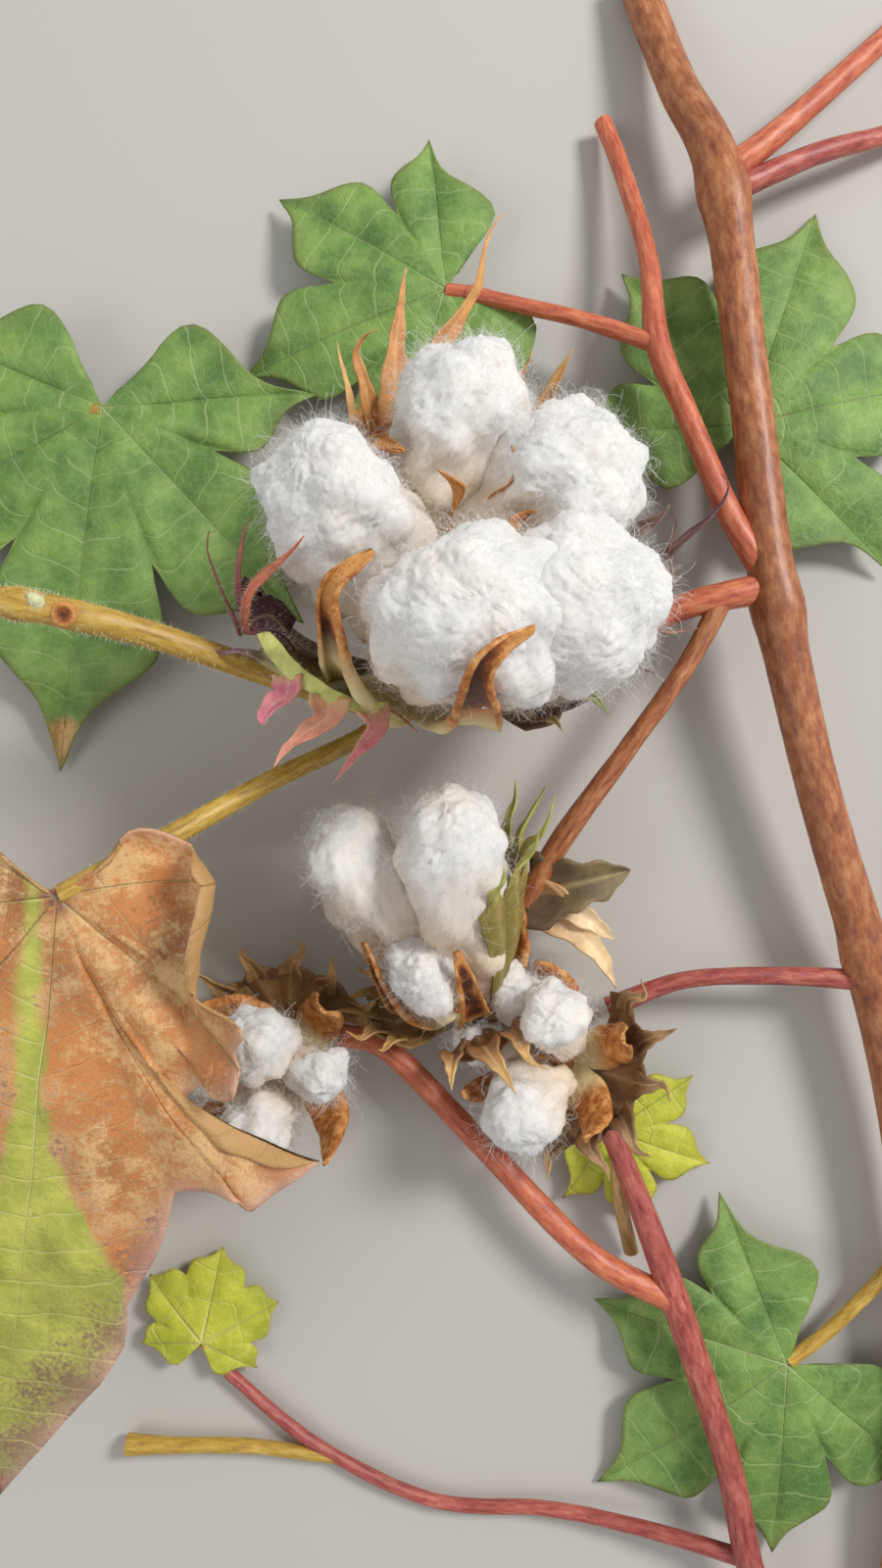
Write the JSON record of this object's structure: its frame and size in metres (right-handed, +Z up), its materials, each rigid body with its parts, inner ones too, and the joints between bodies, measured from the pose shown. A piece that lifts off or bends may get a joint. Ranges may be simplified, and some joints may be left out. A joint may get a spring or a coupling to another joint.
{
  "type": "cut cotton branch with open bolls",
  "caption": "Cut length of a cotton plant lying down: a tapering main stem with side branches, open bolls of white lint in toothed bracts, and lobed leaves.",
  "frame": {"origin": "middle of the outer box in X and Y, at the level the branch lies on", "axes": "+Y along the main stem from its cut lower end towards its tip, +Z up out of the level, +X to the right seen from above"},
  "size_m": [0.233, 0.3838, 0.0794],
  "materials": {
    "stem": "satin, thin smooth bark",
    "twig": "satin, finely hairy bark",
    "lint": "matt, loose fibre",
    "burr": null,
    "bract": "dry leafy blade",
    "leaf_green": "satin leaf",
    "leaf_yellow": "satin leaf",
    "leaf_dry": "dry leaf"
  },
  "bodies": {
    "root": {"main_stem": "stem", "top_branch": "stem", "top_low_branch": "stem", "fruiting_branch": "stem", "outer_branch": "twig", "side_branch": "stem", "side_twig": "stem", "drooping_branch": "stem", "cross_branch": "stem", "lower_stem": "stem", "lower_side_stem": "stem", "lower_twig": "stem", "bud_twig": "twig", "petiole_stub": "twig", "boll_1_stalk": "twig", "boll_1_burr": "burr", "boll_1_bract_left": "bract", "boll_1_bract_right": "bract", "boll_1_bract_top": "bract", "boll_1_lock_1": "lint", "boll_1_lock_2": "lint", "boll_1_lock_3": "lint", "boll_1_lock_4": "lint", "boll_1_lock_5": "lint", "boll_2_burr": "burr", "boll_2_bract_left": "bract", "boll_2_bract_right": "bract", "boll_2_bract_lower": "bract", "boll_2_lock_1": "lint", "boll_2_lock_2": "lint", "boll_2_lock_3": "lint", "boll_2_lock_4": "lint", "boll_3_burr": "burr", "boll_3_bract_whorl": "bract", "boll_3_lock_1": "lint", "boll_3_lock_2": "lint", "boll_3_lock_3": "lint", "boll_3_lock_4": "lint", "boll_4_burr": "burr", "boll_4_bract_whorl": "bract", "boll_4_lock_1": "lint", "boll_4_lock_2": "lint", "boll_4_lock_3": "lint", "boll_4_lock_4": "lint", "dry_leaf": "leaf_dry", "left_leaf": "leaf_green", "right_leaf": "leaf_green", "back_leaf": "leaf_green", "lower_leaf": "leaf_green", "yellow_leaf": "leaf_yellow", "small_leaf": "leaf_yellow"}
  },
  "joints": []
}
